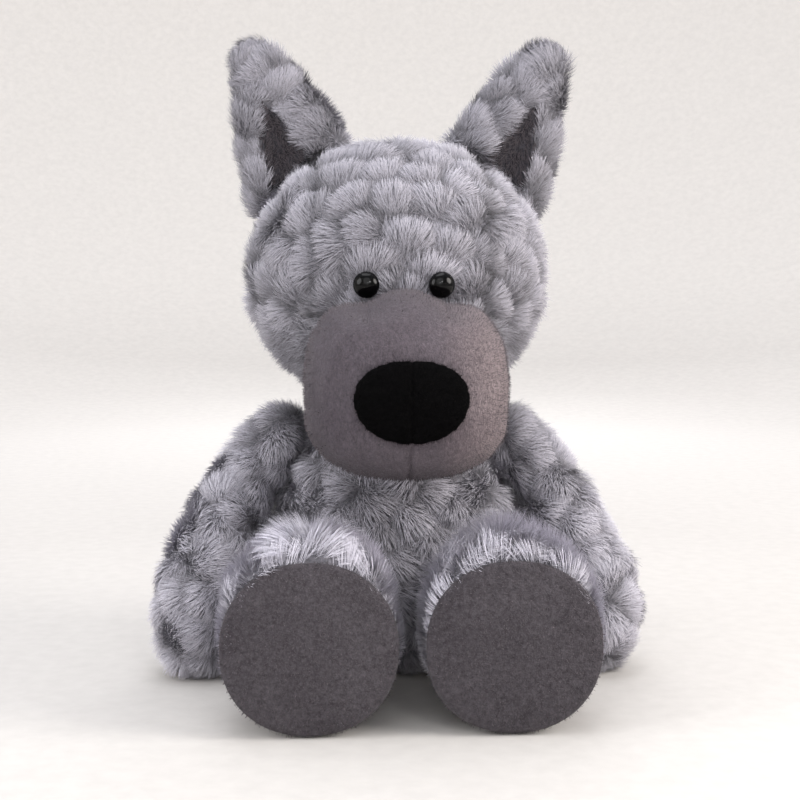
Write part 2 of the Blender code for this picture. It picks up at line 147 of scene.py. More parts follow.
def put_coordinates(mesh, co):
    mesh.vertices.foreach_set("co", np.asarray(co, np.float32).ravel())
    mesh.update()


def triangles(mesh):
    mesh.calc_loop_triangles()
    corners = np.empty(len(mesh.loop_triangles) * 3, np.int32)
    mesh.loop_triangles.foreach_get("vertices", corners)
    return corners.reshape(-1, 3)


def tree_of(obj):
    return BVHTree.FromPolygons(coordinates(obj.data).tolist(), triangles(obj.data).tolist())


def add_object(name, mesh):
    obj = bpy.data.objects.new(name, mesh)
    bpy.context.scene.collection.objects.link(obj)
    return obj


def add_mesh(name, points, faces):
    mesh = bpy.data.meshes.new(name)
    mesh.from_pydata(points, [], faces)
    return add_object(name, mesh)


def ring_faces(start, steps, rows):
    """Quads between rings of points that follow one another, the first ring from index start."""
    faces = []
    for i in range(steps):
        j = (i + 1) % steps
        for k in range(rows):
            row = start + k * steps
            faces.append((row + i, row + steps + i, row + steps + j, row + j))
    return faces


def apply_modifiers(obj):
    graph = bpy.context.evaluated_depsgraph_get()
    obj.data = bpy.data.meshes.new_from_object(obj.evaluated_get(graph))
    obj.modifiers.clear()


# Covers


def hull_of(name, *node_names):
    """A closed skin round CAD nodes."""
    shape = bmesh.new()
    for node in node_names:
        for vertex in nodes[node].data.vertices:
            shape.verts.new(vertex.co)
    hull = bmesh.ops.convex_hull(shape, input=shape.verts)
    spare = hull["geom_interior"] + hull["geom_unused"]
    inside = {part for part in spare if isinstance(part, bmesh.types.BMVert)}
    bmesh.ops.delete(shape, geom=list(inside), context="VERTS")
    bmesh.ops.recalc_face_normals(shape, faces=shape.faces)
    mesh = bpy.data.meshes.new(name)
    shape.to_mesh(mesh)
    shape.free()
    return add_object(name, mesh)


def copy_of_node(name, node):
    mesh = nodes[node].data.copy()
    mesh.materials.clear()
    return add_object(name, mesh)


def remesh(obj, voxel, relax):
    modifier = obj.modifiers.new("Even", "REMESH")
    modifier.mode = "VOXEL"
    modifier.voxel_size = voxel
    modifier = obj.modifiers.new("Relax", "SMOOTH")
    modifier.factor = 0.5
    modifier.iterations = relax
    apply_modifiers(obj)


def grow_skin(obj, depth):
    mesh = obj.data
    put_coordinates(mesh, coordinates(mesh) + depth * vertex_normals(mesh))


def swell(obj, cap, seam_distance=None):
    """Blows the cover up as cloth over its filling, by cap at most. Points on a seam stay where they are."""
    rest = coordinates(obj.data)
    modifier = obj.modifiers.new("Swell", "CLOTH")
    cloth = modifier.settings
    cloth.use_pressure = True
    cloth.uniform_pressure_force = PRESSURE
    cloth.effector_weights.gravity = 0
    cloth.quality = 5
    if seam_distance is not None:
        group = obj.vertex_groups.new(name="Seam")
        group.add([int(i) for i in np.flatnonzero(seam_distance(rest) < SEAM_PIN)], 1.0, "REPLACE")
        cloth.vertex_group_mass = "Seam"
    for step in range(1, SWELL_STEPS + 1):
        bpy.context.scene.frame_set(step)
    graph = bpy.context.evaluated_depsgraph_get()
    moved = coordinates(obj.evaluated_get(graph).data)
    obj.modifiers.clear()
    bpy.context.scene.frame_set(1)
    shift = moved - rest
    far = np.linalg.norm(shift, axis=1, keepdims=True)
    put_coordinates(obj.data, rest + shift * np.minimum(1, cap / np.maximum(far, 1e-9)))


def subdivide(obj, levels):
    modifier = obj.modifiers.new("Smooth", "SUBSURF")
    modifier.levels = levels
    modifier.render_levels = levels
    apply_modifiers(obj)
    obj.data.shade_smooth()


def groove(obj, distance, depth, width, where=None):
    """Draws a seam in: the cover dips along the line where the distance is 0."""
    mesh = obj.data
    co = coordinates(mesh)
    amount = depth * np.exp(-((distance(co) / width) ** 2))
    if where is not None:
        amount = amount * where(co)
    put_coordinates(mesh, co - amount[:, None] * vertex_normals(mesh))


# Materials


def new_material(name, roughness, sheen=0.0, specular=0.3):
    material = bpy.data.materials.new(name)
    material.use_nodes = True
    shader = material.node_tree.nodes["Principled BSDF"]
    shader.inputs["Roughness"].default_value = roughness
    shader.inputs["Specular IOR Level"].default_value = specular
    shader.inputs["Sheen Weight"].default_value = sheen
    shader.inputs["Sheen Roughness"].default_value = 0.45
    return material


def tone_materials(prefix, tones, roughness=0.85, sheen=0.12, specular=0.25):
    made = []
    for k, tone in enumerate(tones):
        material = new_material(f"{prefix}_{k}", roughness, sheen, specular)
        material.node_tree.nodes["Principled BSDF"].inputs["Base Color"].default_value = linear(tone)
        made.append(material)
    return made


class Graph:
    """Adds linked shader nodes with few words."""

    def __init__(self, material):
        self.tree = material.node_tree
        self.shader = self.tree.nodes["Principled BSDF"]
        self.place = self.add("ShaderNodeTexCoord").outputs["Object"]

    def add(self, kind, inputs=(), **settings):
        node = self.tree.nodes.new(kind)
        for key, value in settings.items():
            setattr(node, key, value)
        for key, value in dict(inputs).items():
            self.set(node, key, value)
        return node

    def set(self, node, key, value):
        if isinstance(value, bpy.types.NodeSocket):
            self.tree.links.new(value, node.inputs[key])
        else:
            node.inputs[key].default_value = value

    def noise(self, scale, detail=3.0, stretch=(1, 1, 1), rough=0.55):
        place = self.add("ShaderNodeMapping", {"Vector": self.place, "Scale": stretch}).outputs["Vector"]
        values = {"Vector": place, "Scale": scale, "Detail": detail, "Roughness": rough}
        return self.add("ShaderNodeTexNoise", values).outputs["Fac"]

    def ramp(self, factor, stops):
        node = self.add("ShaderNodeValToRGB", {"Fac": factor})
        ramp = node.color_ramp
        while len(ramp.elements) < len(stops):
            ramp.elements.new(0.5)
        for element, (where, colour) in zip(ramp.elements, stops):
            element.position = where
            element.color = linear(colour)
        return node.outputs["Color"]

    def darken(self, factor, colour, shade):
        """Multiplies a colour by a shade."""
        node = self.add("ShaderNodeMix", data_type="RGBA", blend_type="MULTIPLY")
        for slot, value in ((0, factor), (6, colour), (7, shade)):
            self.set(node, slot, value)
        return node.outputs[2]

    def scaled(self, value, low, high, start=0.0, stop=1.0):
        ends = {"From Min": start, "From Max": stop, "To Min": low, "To Max": high}
        return self.add("ShaderNodeMapRange", {"Value": value, **ends}).outputs["Result"]

    def finish(self, colour, roughness, height, distance):
        bump = self.add("ShaderNodeBump", {"Height": height, "Distance": distance, "Strength": 1.0})
        self.tree.links.new(colour, self.shader.inputs["Base Color"])
        self.tree.links.new(roughness, self.shader.inputs["Roughness"])
        self.tree.links.new(bump.outputs["Normal"], self.shader.inputs["Normal"])


def plush_material(name, dark, light, speckle, contrast, nap=(1, 1, 1), sheen=0.25, depth=0.0006,
                   specular=0.2, painted_side_light=None):
    """Short cut pile: a mottle of leaning tips, in soft blotches.

    The three side tints, from -X to +X, paint light and shade across the pile: painted shade towards -X, and
    painted light, lighter and warmer, towards +X.
    """
    material = new_material(name, 0.9, sheen, specular)
    graph = Graph(material)
    tips = graph.noise(speckle, 4.0, nap, 0.7)
    fine = graph.noise(speckle * 2.6, 2.0, nap, 0.6)
    patches = graph.noise(28.0, 2.0)
    body = graph.ramp(tips, ((0.5 - contrast, dark), (0.5 + contrast, light)))
    grain = graph.ramp(fine, ((0.32, (0.62, 0.62, 0.62)), (0.70, (1.0, 1.0, 1.0))))
    body = graph.darken(0.55, body, grain)
    shade = graph.ramp(patches, ((0.35, (0.86, 0.85, 0.86)), (0.65, (1.0, 1.0, 1.0))))
    body = graph.darken(0.7, body, shade)
    # Painted side light: the pile is painted darker towards -X and lighter and warmer towards +X.
    if painted_side_light is not None:
        across = graph.add("ShaderNodeSeparateXYZ", {0: graph.place}).outputs["X"]
        tint = graph.ramp(graph.scaled(across, 0.0, 1.0, -0.05, 0.05), tuple(zip((0.1, 0.62, 0.97), painted_side_light)))
        body = graph.darken(1.0, body, tint)
    height = graph.add("ShaderNodeMath", {0: tips, 1: fine}, operation="ADD").outputs[0]
    graph.finish(body, graph.scaled(tips, 0.95, 0.78), height, depth)
    return material


def backing_material(name):
    """The woven backing that shows between tufts, painted dark grey as the shade deep in the pile."""
    material = new_material(name, 0.95, 0.1, 0.15)
    graph = Graph(material)
    tufts = graph.noise(420.0, 4.0, (1, 1, 0.5), 0.7)
    patches = graph.noise(60.0, 2.0)
    body = graph.ramp(tufts, ((0.30, (0.30, 0.295, 0.31)), (0.72, (0.56, 0.55, 0.58))))
    shade = graph.ramp(patches, ((0.3, (0.75, 0.75, 0.76)), (0.7, (1.0, 1.0, 1.0))))
    body = graph.darken(0.8, body, shade)
    graph.finish(body, graph.scaled(tufts, 0.98, 0.85), tufts, 0.0015)
    return material


def gloss_material(name):
    """Moulded black plastic with faint handling marks."""
    material = new_material(name, 0.08, 0.0, 0.16)
    graph = Graph(material)
    haze = graph.noise(500.0, 3.0)
    body = graph.ramp(haze, ((0.3, (0.006, 0.005, 0.006)), (0.7, (0.016, 0.015, 0.016))))
    graph.finish(body, graph.scaled(haze, 0.04, 0.16), haze, 0.00002)
    return material


pile_tones = tone_materials("pile", PILE_TONES)
plush_tones = tone_materials("plush_fuzz", PLUSH_TONES, 0.9, 0.04)
velvet_tones = tone_materials("velvet_fuzz", VELVET_TONES, 0.9, 0.0, 0.03)
backing = backing_material("pile_backing")
# The muzzle's side tints paint the warm key lamp's light on its +X side and shade on its -X side.
muzzle_plush = plush_material(
    "muzzle_plush", (0.42, 0.39, 0.405), (0.56, 0.52, 0.535), speckle=620.0, contrast=0.20, nap=(1, 1, 0.45),
    sheen=0.06, painted_side_light=((0.66, 0.66, 0.69), (0.75, 0.745, 0.77), (1.04, 1.01, 0.99)))
sole_plush = plush_material(
    "sole_plush", (0.222, 0.208, 0.222), (0.345, 0.326, 0.345), speckle=430.0, contrast=0.20, sheen=0.08)
cheek_plush = plush_material(
    "cheek_plush", (0.36, 0.35, 0.375), (0.54, 0.53, 0.56), speckle=520.0, contrast=0.18, nap=(1, 1, 0.4))
lining_plush = plush_material(
    "lining_plush", (0.14, 0.138, 0.15), (0.30, 0.295, 0.32), speckle=480.0, contrast=0.16, nap=(1, 1, 0.3),
    sheen=0.05)
nose_velvet = plush_material(
    "nose_velvet", (0.010, 0.009, 0.010), (0.040, 0.038, 0.041), speckle=700.0, contrast=0.2, sheen=0.0,
    depth=0.0003, specular=0.03)
eye_gloss = gloss_material("eye_gloss")


def settle(obj, material, slot, body, *replaced, fill=None):
    """Gives a finished cover its material and its body, and hides the CAD parts it stands for. The slot is
    not used.
    """
    obj.data.materials.clear()
    obj.data.materials.append(material)
    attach(obj, body)
    if replaced:
        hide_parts(*replaced)


# Pile


def strands(name, roots, normals, first, second, length, width, level, tones, round_normals, twist,
            root_shade=ROOT_SHADE, own=0.7):
    """One ribbon for each root: it leaves along first, bends towards second and narrows to a point.

    It is shaded between its own flat side and the round shape of its tuft; own weighs the flat side.
    """
    count = len(roots)
    rows = len(STRAND_STEPS) - 1
    half_way = roots + first * length[:, None] / 2
    end = half_way + second * length[:, None] / 2
    across = unit(np.cross(second, normals))
    across = unit(across * np.cos(twist)[:, None] + normals * np.sin(twist)[:, None])
    per = 2 * rows + 1
    points = np.empty((count, per, 3))
    for k, (t, taper) in enumerate(zip(STRAND_STEPS, STRAND_TAPER)):
        centre = (1 - t) ** 2 * roots + 2 * t * (1 - t) * half_way + t**2 * end
        if k == rows:
            points[:, -1] = centre
        else:
            offset = across * (width * taper / 2)[:, None]
            points[:, 2 * k], points[:, 2 * k + 1] = centre - offset, centre + offset
    points[..., 2] = np.maximum(points[..., 2], FLOOR_Z)

    base = np.arange(count)[:, None] * per
    corners = [base + np.array((2 * k, 2 * k + 1, 2 * k + 3, 2 * k + 2)) for k in range(rows - 1)]
    corners.append(base + np.array((per - 3, per - 2, per - 1)))
    loops = np.concatenate(corners, axis=1)
    sizes = np.tile(np.array([4] * (rows - 1) + [3]), count)
    starts = np.concatenate(([0], np.cumsum(sizes)[:-1]))

    mesh = bpy.data.meshes.new(name)
    mesh.vertices.add(count * per)
    mesh.vertices.foreach_set("co", points.astype(np.float32).ravel())
    mesh.loops.add(loops.size)
    mesh.loops.foreach_set("vertex_index", loops.astype(np.int32).ravel())
    mesh.polygons.add(len(sizes))
    mesh.polygons.foreach_set("loop_start", starts.astype(np.int32))
    for material in tones:
        mesh.materials.append(material)
    # Stretches nearer the root are darker: painted shade deep in the pile.
    shades = np.stack([level - drop for drop in root_shade], axis=1)
    mesh.polygons.foreach_set("material_index", np.clip(shades, 0, len(tones) - 1).astype(np.int32).ravel())
    mesh.update(calc_edges=True)
    mesh.shade_smooth()
    shading = unit(own * unit(np.cross(across, second)) + unit(round_normals))
    soft = np.repeat(shading[:, None], per, axis=1).reshape(-1, 3)
    mesh.normals_split_custom_set_from_vertices(soft.tolist())
    return add_object(name, mesh)


def scatter(skin, count, rng, density=None):
    """Random points on a cover, with the normal at each. density gives the share to keep at a point."""
    co, corners, normals = coordinates(skin.data), triangles(skin.data), vertex_normals(skin.data)
    a, b, c = (co[corners[:, k]] for k in range(3))
    area = np.linalg.norm(np.cross(b - a, c - a), axis=1)
    chosen = rng.choice(len(corners), count, p=area / area.sum())
    u, v = rng.random(count), rng.random(count)
    flip = u + v > 1
    u[flip], v[flip] = 1 - u[flip], 1 - v[flip]
    weights = np.stack((1 - u - v, u, v), axis=1)[..., None]
    points = (np.stack((a, b, c), axis=1)[chosen] * weights).sum(axis=1)
    up = unit((normals[corners[chosen]] * weights).sum(axis=1))
    if density is not None:
        keep = rng.random(count) < density(points, up)
        points, up = points[keep], up[keep]
    return points, up


def apart(points, spacing, rng):
    """Indices of points that are at least spacing apart."""
    chosen = []
    kept = np.empty((0, 3))
    for i in rng.permutation(len(points)):
        if not len(kept) or ((kept - points[i]) ** 2).sum(axis=1).min() > spacing**2:
            chosen.append(i)
            kept = points[chosen]
    return np.array(chosen)


def tufts_of(points, up, centres, centre_up, lean, spacing):
    """For each point, its tuft and how near it is to the edge of it, from 0 in the middle to 1."""
    owner, edge = np.empty(len(points), int), np.empty(len(points))
    here = dot(centres, lean)
    block_size = 8192
    for start in range(0, len(points), block_size):
        part = slice(start, start + block_size)
        block = points[part]
        square = dot(block, block)[:, None] + dot(centres, centres) - 2 * block @ centres.T
        square = square + TUFT_SQUASH * (block @ lean.T - here) ** 2
        square = square + spacing**2 * (1 - up[part] @ centre_up.T)
        two = np.argpartition(square, 1, axis=1)[:, :2]
        found = np.take_along_axis(square, two, axis=1)
        first = found.argmin(axis=1)[:, None]
        near = np.sqrt(np.maximum(np.take_along_axis(found, first, axis=1), 0))[:, 0]
        far = np.sqrt(np.maximum(np.take_along_axis(found, 1 - first, axis=1), 0))[:, 0]
        owner[part] = np.take_along_axis(two, first, axis=1)[:, 0]
        edge[part] = 2 * near / (near + far)
    return owner, edge


def depth_inside(points, cover):
    """How deep each point lies inside a cover, and 0 outside it."""
    tree = tree_of(cover)
    depth = np.zeros(len(points))
    for i, point in enumerate(points):
        place, normal, _, distance = tree.find_nearest(point)
        if (Vector(point) - place).dot(normal) < 0:
            depth[i] = distance
    return depth


def raise_tufts(skin, centres, centre_up, lean, spacing, height):
    """Pushes the backing out under each tuft, most on the side the tuft leans to."""
    co, up = coordinates(skin.data), vertex_normals(skin.data)
    owner, edge = tufts_of(co, up, centres, centre_up, lean, spacing)
    along = np.clip(2 * dot(co - centres[owner], lean[owner]) / spacing, -1, 1)
    put_coordinates(skin.data, co + (height * (1 - edge**3) * (0.8 + 0.5 * along))[:, None] * up)


# Each part's shade function gives the same pile its own base grey, lighter or darker to suit the light on
# that part: painted light and shade.
def pile(name, skin, body, count, nap, seed, shade, length=0.0088, spacing=0.0145, density=None, buried=None,
         lift=0.85, rise=0.22, width=0.00027, fan=0.30, wander=0.85, edge_drop=0.17, tall=None, raised=0.0028,
         loose=0.19, own=0.7, root_shade=ROOT_SHADE, parts=("",), part_of=None):
    """Grows curled pile on a cover, in tufts that lean along the nap and curl over at their far edge.

    nap, shade, density and tall are asked at points with their normals. lift and rise are how upright a
    strand is at its root and at its tip, fan is how much a tuft spreads, wander how far its lean strays from
    the nap, edge_drop how much darker its border is, as painted shade between tufts, and loose how untidy
    its strands are. part_of shares the strands out over parts.
    """
    rng = np.random.default_rng(seed)
    spots, spot_up = scatter(skin, TUFT_TRIES, rng)
    middles = apart(spots, spacing, rng)
    centres, centre_up = spots[middles], spot_up[middles]
    lean = unit(nap(centres, centre_up) + wander * rng.normal(size=centres.shape))
    lean = unit(lean - dot(lean, centre_up)[:, None] * centre_up)
    raise_tufts(skin, centres, centre_up, lean, spacing, raised)

    points, up = scatter(skin, count, rng, density)
    if buried is not None:
        keep = depth_inside(points, buried) < BURIED
        points, up = points[keep], up[keep]
    count = len(points)
    owner, edge = tufts_of(points, up, centres, centre_up, lean, spacing)
    flow = lean[owner]
    flow = unit(flow - dot(flow, up)[:, None] * up)
    offset = 2 * (points - centres[owner]) / spacing
    offset = offset - dot(offset, up)[:, None] * up
    along = np.clip(dot(offset, flow), -1.2, 1.2)
    swirl = rng.normal(0, SWIRL, len(centres))[owner, None] * np.cross(up, flow)
    jitter = rng.normal(size=(count, 3))
    ahead = smooth_step(along, 0.0, 1.0)
    first = unit(lift * up + ROOT_LEAN * flow + fan * offset + loose * 0.6 * jitter)
    second = unit((rise - CURL_OVER * ahead)[:, None] * up + flow + swirl + fan * offset + loose * jitter)

    # drop is strongest on the near border of a tuft: strands there are shorter and painted darker, as painted
    # shade between tufts.
    drop = smooth_step(edge, *TUFT_BORDER) * np.clip(0.70 - 0.8 * along, 0.10, 1.1)
    tuft_size = rng.uniform(*TUFT_SIZES, len(centres))[owner]
    reach = length * tuft_size * (1 - 0.25 * np.minimum(drop, 1)) * rng.uniform(*LENGTHS, count)
    if tall is not None:
        reach = reach * tall(points, up)
    # Each strand's grey is the part's grey with random variety, plus painted light on the far edge of its
    # tuft and painted shade on its border.
    value = shade(points, up) + rng.normal(0, TUFT_VARIETY, len(centres))[owner]
    value = value + TIP_PAINTED_LIGHT * along - edge_drop * drop + rng.normal(0, STRAND_VARIETY, count)
    level = np.rint((value - DARKEST_TONE) / TONE_STEP).astype(int)
    rounded = up + 0.30 * offset + 0.15 * flow
    twist = rng.uniform(-TWIST, TWIST, count)
    wide = width * rng.uniform(*WIDTHS, count)
    part = np.zeros(count, int) if part_of is None else part_of(points)
    for k, word in enumerate(parts):
        mine = part == k
        obj = strands(name + word, points[mine], up[mine], first[mine], second[mine], reach[mine], wide[mine],
                      level[mine], pile_tones, rounded[mine], twist[mine], root_shade, own)
        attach(obj, body)


def fuzz(name, skin, body, count, seed, tones, length, width, base=1.5, spread=0.8, comb=None):
    """A thin scatter of short tips that breaks the outline of short plush. base is the middle tone."""
    rng = np.random.default_rng(seed)
    points, up = scatter(skin, count, rng)
    flow = np.zeros_like(up) if comb is None else comb(points, up)
    jitter = rng.normal(size=(count, 3))
    first = unit(up + 0.3 * flow + 0.25 * jitter)
    second = unit(0.6 * up + 0.8 * flow + 0.35 * jitter)
    level = np.rint(base + rng.normal(0, spread, count)).astype(int)
    length = length * rng.uniform(0.6, 1.3, count)
    width = width * rng.uniform(0.7, 1.3, count)
    obj = strands(name, points - 0.0002 * up, up, first, second, length, width, level, tones, up,
                  rng.uniform(-0.7, 0.7, count))
    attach(obj, body)


def steady(*direction):
    """A nap that points one way everywhere."""
    return lambda points, up: np.tile(np.array(direction, float), (len(points), 1))


# The toy's own measures, read from the frame

head_low, head_high = box_of("crown_panel", "head_side_left", "head_side_right", "cheek_left", "cheek_right")
head_mid = (head_low + head_high) / 2
muzzle_low, muzzle_high = box_of("muzzle_side_left", "muzzle_side_right", "muzzle_bridge", "jaw_panel")
muzzle_mid = (muzzle_low + muzzle_high) / 2
torso_low, torso_high = box_of("chest_panel", "back_panel_left", "back_panel_right", "seat_panel")
torso_mid = (torso_low + torso_high) / 2
cheek_high = box_of("cheek_left", "cheek_right")[1]
eye_low, eye_high = box_of("eye_left")
nose_low, nose_high = box_of("nose_pad")
nose_mid = (nose_low + nose_high) / 2
crown_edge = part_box("crown_panel")[1].x
bridge_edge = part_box("muzzle_bridge")[1].x


# Muzzle

EYE_DIP = 0.0050
EYE_DIP_WIDTH = 0.010
JOWL_SWELL = 0.045
JOWL_DROP = 0.0015


def shape_muzzle(obj):
    """Dips the top of the muzzle in front of the eyes, so that they show whole, and fills out its jowls."""
    co = coordinates(obj.data)
    eye_x = (eye_low[0] + eye_high[0]) / 2 + 0.001
    beside = np.exp(-(((np.abs(co[:, 0]) - eye_x) / EYE_DIP_WIDTH) ** 2))
    high = smooth_step(co[:, 2], muzzle_mid[2] + 0.018, muzzle_mid[2] + 0.038)
    behind_nose = smooth_step(co[:, 1], muzzle_low[1] + 0.004, muzzle_low[1] + 0.030)
    co[:, 2] -= EYE_DIP * beside * high * behind_nose
    below = smooth_step(-co[:, 2], 0.004 - muzzle_mid[2], 0.030 - muzzle_mid[2])
    co[:, 0] *= 1 + JOWL_SWELL * below
    co[:, 2] -= JOWL_DROP * below
    put_coordinates(obj.data, co)


def under_nose(points):
    """1 on the front of the muzzle below the nose, 0 elsewhere."""
    return smooth_step(-points[:, 1], 0.10, 0.12) * smooth_step(-points[:, 2], -nose_low[2] - 0.004,
                                                                -nose_low[2] + 0.006)


def on_bridge(points):
    return smooth_step(points[:, 2], muzzle_mid[2] + 0.02, muzzle_mid[2] + 0.035)


def from_nose(points, up):
    return unit(points - np.array((nose_mid[0], nose_mid[1] + 0.02, nose_mid[2])))


muzzle_nodes = ("muzzle_side_left", "muzzle_side_right", "muzzle_bridge", "jaw_panel")
muzzle = hull_of("muzzle_cover", *muzzle_nodes)
remesh(muzzle, REMESH_SHORT, 6)
swell(muzzle, SWELL_SHORT)
subdivide(muzzle, 2)
grow_skin(muzzle, 0.0006)
shape_muzzle(muzzle)
groove(muzzle, lambda p: p[:, 0], 0.0016, 0.0011, under_nose)
groove(muzzle, lambda p: np.abs(p[:, 0]) - bridge_edge, 0.0007, 0.0009, on_bridge)
settle(muzzle, muzzle_plush, "short_plush", "head", *muzzle_nodes, fill=0.9)
fuzz("muzzle_fuzz", muzzle, "head", 26000, 5, plush_tones, 0.0016, 0.00020, base=0.6,
     spread=0.6, comb=from_nose)


# Head


def on_cheek(points):
    """1 on the short-pile cheeks beside the muzzle, 0 on the curled pile."""
    below = smooth_step(-points[:, 2], -cheek_high[2] + 0.004, -cheek_high[2] + 0.012)
    front = smooth_step(-points[:, 1], -cheek_high[1] - 0.002, -cheek_high[1] + 0.004)
    inner = smooth_step(-np.abs(points[:, 0]), -cheek_high[0] - 0.002, -cheek_high[0] + 0.003)
    return below * front * inner


def away_from_muzzle(points, up):
    centre = np.array((0, muzzle_low[1] * 0.6, muzzle_mid[2]))
    return unit(unit(points - centre) + np.array((0, 0, -0.25)))


def crown_seam(points):
    """1 on the two seams of the crown, 0 away from them."""
    return np.exp(-(((np.abs(points[:, 0]) - crown_edge) / 0.0028) ** 2))


def head_shade(points, up):
    # Lighter where the pile faces up: painted light from above. Darker along the crown seams: painted shade
    # where the pile parts.
    return 0.65 + 0.02 * up[:, 2] - 0.14 * crown_seam(points)


def head_nap(points, up):
    """Away from the muzzle, and parted along the crown seams, more so along the right one."""
    beyond = np.abs(points[:, 0]) - crown_edge
    strength = np.where(points[:, 0] < 0, 1.0, 0.4)
    part = np.sign(beyond * points[:, 0]) * np.exp(-((beyond / 0.009) ** 2)) * strength
    return away_from_muzzle(points, up) + part[:, None] * np.array((1.0, 0, 0))


def head_part(points):
    """0 on the front of the crown, 1 on its back, 2 on the side panel at +X and 3 on the other."""
    crown = np.where(points[:, 1] < head_mid[1], 0, 1)
    return np.where(np.abs(points[:, 0]) < crown_edge, crown, np.where(points[:, 0] > 0, 2, 3))


def add_cheek(side, word):
    """The short-pile patch of the head beside the muzzle."""
    shape = bmesh.new()
    shape.from_mesh(head.data)
    middles = np.array([face.calc_center_median() for face in shape.faces])
    inside = (on_cheek(middles) > 0.5) & (middles[:, 0] * side > 0)
    unwanted = [face for face, keep in zip(shape.faces, inside) if not keep]
    bmesh.ops.delete(shape, geom=unwanted, context="FACES")
    mesh = bpy.data.meshes.new(f"cheek_cover_{word}")
    shape.to_mesh(mesh)
    shape.free()
    cheek = add_object(f"cheek_cover_{word}", mesh)
    modifier = cheek.modifiers.new("Thick", "SOLIDIFY")
    modifier.thickness = 0.0026
    modifier.offset = 1.0
    apply_modifiers(cheek)
    subdivide(cheek, 1)
    settle(cheek, cheek_plush, "short_plush", "head", f"cheek_{word}", fill=0.7)
    fuzz(f"cheek_fuzz_{word}", cheek, "head", 14000, 15 + side, pile_tones, 0.0060, 0.0003,
         base=6.0, comb=away_from_muzzle)


head = hull_of("head_cover", "crown_panel", "head_side_left", "head_side_right", "cheek_left", "cheek_right")
remesh(head, REMESH_PILE, 4)
grow_skin(head, -PILE_DEPTH)
swell(head, SWELL_PILE, lambda p: np.abs(np.abs(p[:, 0]) - crown_edge))
subdivide(head, 2)
settle(head, backing, "curled_plush", "head", "crown_panel", "head_side_left", "head_side_right",
       "head_stuffing", "eye_washer_left", "eye_washer_right", fill=0.9)
pile("head_pile", head, "head", 125000, head_nap, 11, head_shade, density=lambda p, n: 1 - on_cheek(p),
     buried=muzzle, tall=lambda p, n: 1 - 0.4 * crown_seam(p), parts=("_front", "_back", "_left", "_right"),
     part_of=head_part)
for side, word in SIDES:
    add_cheek(side, word)


# Neck and torso


def torso_seam(points):
    """How far each point is from the side seams and the middle seam of the back."""
    middle = np.abs(points[:, 0]) + 10 * (points[:, 1] < 0)
    return np.minimum(np.abs(points[:, 1] - torso_mid[1]), middle)


def shoulder_length(points, up):
    """The pile is longer over the shoulders."""
    return 1 + 0.3 * smooth_step(points[:, 2], torso_high[2] - 0.035, torso_high[2] - 0.01)


def torso_part(points):
    """0 on the chest, 1 on the back at +X and 2 on the other side of the back."""
    return np.where(points[:, 1] < torso_mid[1], 0, np.where(points[:, 0] > 0, 1, 2))


neck = hull_of("neck_cover", "neck_stuffing")
remesh(neck, REMESH_PILE, 2)
subdivide(neck, 1)
settle(neck, backing, "curled_plush", "neck", "neck_stuffing", fill=0.7)
pile("neck_pile", neck, "neck", 3000, steady(0, 0, -1), 19, lambda p, n: flat(p, 0.5), raised=0.001)

torso_nodes = ("chest_panel", "back_panel_left", "back_panel_right", "seat_panel")
torso = hull_of("torso_cover", *torso_nodes)
remesh(torso, REMESH_PILE, 4)
grow_skin(torso, -PILE_DEPTH)
swell(torso, SWELL_PILE, torso_seam)
subdivide(torso, 2)
settle(torso, backing, "curled_plush", "torso", *torso_nodes, "torso_stuffing", fill=0.8)
pile("torso_pile", torso, "torso", 78000, steady(0, 0, -1), 21, lambda p, n: flat(p, 0.67), width=0.00031,
     tall=shoulder_length, parts=("_chest", "_left", "_right"), part_of=torso_part)


# Arms, legs and tail

SOLE_SQUARE = 2.15  # 2 is an ellipse, more is squarer
SOLE_STEPS = 72
# The rim and the face of a sole from its back to its front, as shares of its radius and of its thickness
SOLE_PROFILE = ((0.5, 0.0), (0.94, 0.0), (0.99, 0.15), (1.0, 0.4), (0.99, 0.65), (0.96, 0.84), (0.91, 0.95),
                (0.82, 1.0), (0.70, 1.0), (0.56, 1.0), (0.42, 1.0), (0.28, 1.0), (0.14, 1.0))
SOLE_INSET = 0.0016  # how far the sole stays inside the leg to each side
SOLE_TOP_INSET = 0.0115


def pillow(name, low, high):
    """A flat-backed cushion with a round rim, facing -Y, that fills a box."""
    mid, half = (low + high) / 2, (high - low) / 2
    steps = SOLE_STEPS
    turn = np.arange(steps) * 2 * math.pi / steps
    wide = np.sign(np.cos(turn)) * np.abs(np.cos(turn)) ** (2 / SOLE_SQUARE)
    tall = np.sign(np.sin(turn)) * np.abs(np.sin(turn)) ** (2 / SOLE_SQUARE)
    rows = [np.stack((mid[0] + r * half[0] * wide, np.full(steps, high[1] - d * (high[1] - low[1])),
                      mid[2] + r * half[2] * tall), axis=1) for r, d in SOLE_PROFILE]
    points = np.concatenate(rows + [[(mid[0], high[1], mid[2]), (mid[0], low[1], mid[2])]])
    last, faces = len(points) - 1, []
    for i in range(steps):
        j = (i + 1) % steps
        faces.append((last - 1, j, i))
        faces.append((last, last - 1 - steps + i, last - 1 - steps + j))
        for k in range(len(SOLE_PROFILE) - 1):
            row = k * steps
            faces.append((row + i, row + j, row + steps + j, row + steps + i))
    obj = add_mesh(name, points.tolist(), faces)
    shape = bmesh.new()
    shape.from_mesh(obj.data)
    bmesh.ops.recalc_face_normals(shape, faces=shape.faces)
    shape.to_mesh(obj.data)
    shape.free()
    return obj


